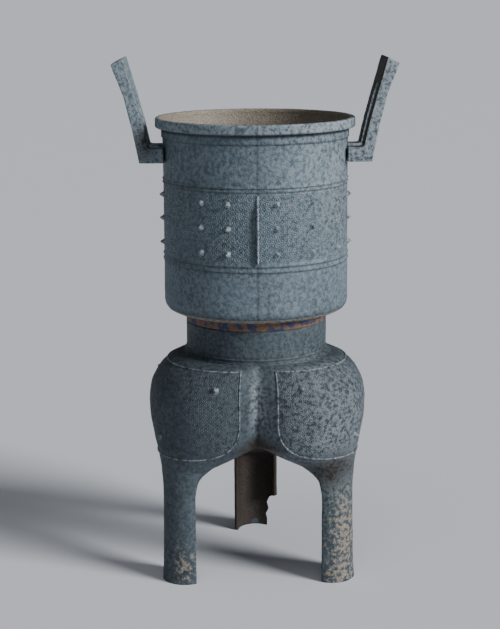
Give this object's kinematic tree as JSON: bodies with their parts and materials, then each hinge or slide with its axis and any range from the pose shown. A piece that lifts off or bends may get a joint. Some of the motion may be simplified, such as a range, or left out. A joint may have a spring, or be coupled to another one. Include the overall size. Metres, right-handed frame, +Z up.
{
  "type": "steamer vessel",
  "caption": "Ancient cast bronze steamer: a straight-sided upper pot with two upright ears on a lobed, three-legged lower pot, with raised lines, fins, studs and panel outlines.",
  "frame": {"origin": "middle of the outline on the floor, under the feet", "axes": "+Z up, -Y towards the front, which is between two of the legs, +X through the right ear"},
  "size_m": [0.3928, 0.3046, 0.7404],
  "materials": {
    "zeng_patina": "rough slate green patina with earthy crusts",
    "li_patina": "rough dark blue green patina with brown earth and pale crusts"
  },
  "bodies": {
    "root": {"zeng": "zeng_patina", "li": "li_patina"}
  },
  "joints": []
}
